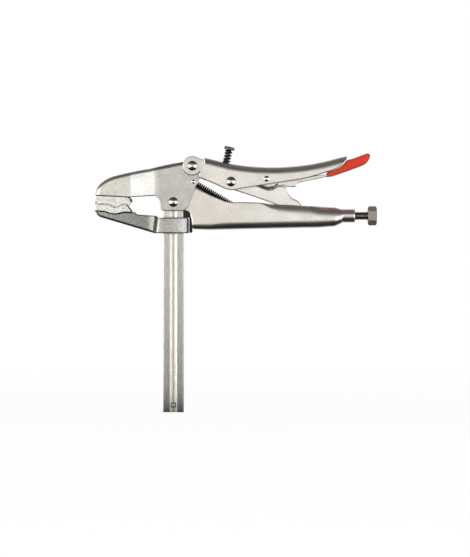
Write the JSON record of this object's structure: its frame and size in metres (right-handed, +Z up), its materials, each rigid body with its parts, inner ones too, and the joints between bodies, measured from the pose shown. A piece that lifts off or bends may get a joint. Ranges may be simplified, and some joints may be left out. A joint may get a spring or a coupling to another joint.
{
  "type": "locking bar clamp",
  "caption": "Locking toggle pliers clamp on a fluted steel bar, with a pivoting upper jaw, a sliding lower jaw, a red release lever and a hex adjusting screw.",
  "frame": {"origin": "centre of the slide bar's lower end face", "axes": "+Z up along the slide bar towards the jaw pivot, +X towards the handles' free ends, +Y across the clamp, away from someone who sees it with the jaws at the left and the bar hanging down"},
  "size_m": [0.2676, 0.0308, 0.2527],
  "materials": {
    "plated_sheet": "satin nickel plate",
    "forged_steel": "satin plate on a forging",
    "rail_steel": "satin plate",
    "tooth_steel": "satin plate",
    "rivet_steel": "bright plate",
    "screw_steel": "plated",
    "link_steel": "satin plate",
    "spring_steel": "black oxide",
    "black_block": "black oxide",
    "red_sleeve": "glossy dipped vinyl"
  },
  "bodies": {
    "frame": {"slide_bar": "rail_steel", "bar_stop_pin": "rail_steel", "fixed_handle": "plated_sheet", "bar_anchor_block": "black_block", "jaw_pivot_rivet": "rivet_steel", "opening_spring": "spring_steel"},
    "upper_jaw": {"upper_jaw_head": "plated_sheet", "upper_jaw_teeth": "tooth_steel", "lever_pivot_rivet": "rivet_steel", "lever_pivot_bush": "rivet_steel", "spring_anchor_pin": "rivet_steel"},
    "lever": {"lever_handle": "plated_sheet", "link_pivot_rivet": "rivet_steel", "link_spacers": "rivet_steel", "release_pivot_pin": "rivet_steel", "limit_screw_nut": "screw_steel", "limit_screw_spring": "spring_steel"},
    "link": {"toggle_link": "link_steel"},
    "release": {"release_lever": "plated_sheet", "release_grip": "red_sleeve"},
    "limit_screw_body": {"limit_screw": "screw_steel"},
    "sliding_jaw_body": {"sliding_jaw": "forged_steel", "sliding_jaw_teeth": "tooth_steel"},
    "adjusting_rod": {"adjusting_screw_rod": "screw_steel"},
    "adjusting_head": {"adjusting_screw_head": "screw_steel"}
  },
  "joints": [
    {"name": "jaw_pivot", "type": "hinge", "parent": "frame", "child": "upper_jaw", "pos_m": [0, 0, 0.1992], "axis": [0, 1, 0], "range_deg": [0, 12], "deforming": ["opening_spring"]},
    {"name": "lever_pivot", "type": "hinge", "parent": "upper_jaw", "child": "lever", "pos_m": [0.018, 0, 0.2335], "axis": [0, 1, 0], "range_deg": [-41.3, 0]},
    {"name": "link_pivot", "type": "hinge", "parent": "lever", "child": "link", "pos_m": [0.0547, 0, 0.2185], "axis": [0, 1, 0], "range_deg": [0, 43]},
    {"name": "release_pivot", "type": "hinge", "parent": "lever", "child": "release", "pos_m": [0.0883, 0, 0.2213], "axis": [0, 1, 0], "range_deg": [0, 7]},
    {"name": "limit_screw_feed", "type": "slide", "parent": "lever", "child": "limit_screw_body", "axis": [0.2079, 0, 0.9781], "range_m": [-0.001, 0.002], "deforming": ["limit_screw_spring"]},
    {"name": "jaw_slide", "type": "slide", "parent": "frame", "child": "sliding_jaw_body", "axis": [0, 0, -1], "range_m": [0, 0.1605]},
    {"name": "adjusting_screw_feed", "type": "slide", "parent": "frame", "child": "adjusting_rod", "axis": [1, 0, 0], "range_m": [0, 0.028]},
    {"name": "adjusting_screw_turn", "type": "hinge", "parent": "adjusting_rod", "child": "adjusting_head", "pos_m": [0.1885, 0, 0.1863], "axis": [1, 0, 0], "range_deg": [0, 7200]}
  ],
  "couplings": [
    {"joint": "lever_pivot", "follows": "jaw_pivot", "ratio": -3.4367},
    {"joint": "link_pivot", "follows": "jaw_pivot", "ratio": 3.5814},
    {"joint": "adjusting_screw_feed", "follows": "adjusting_screw_turn", "m_per_rad": 0.00019894}
  ]
}
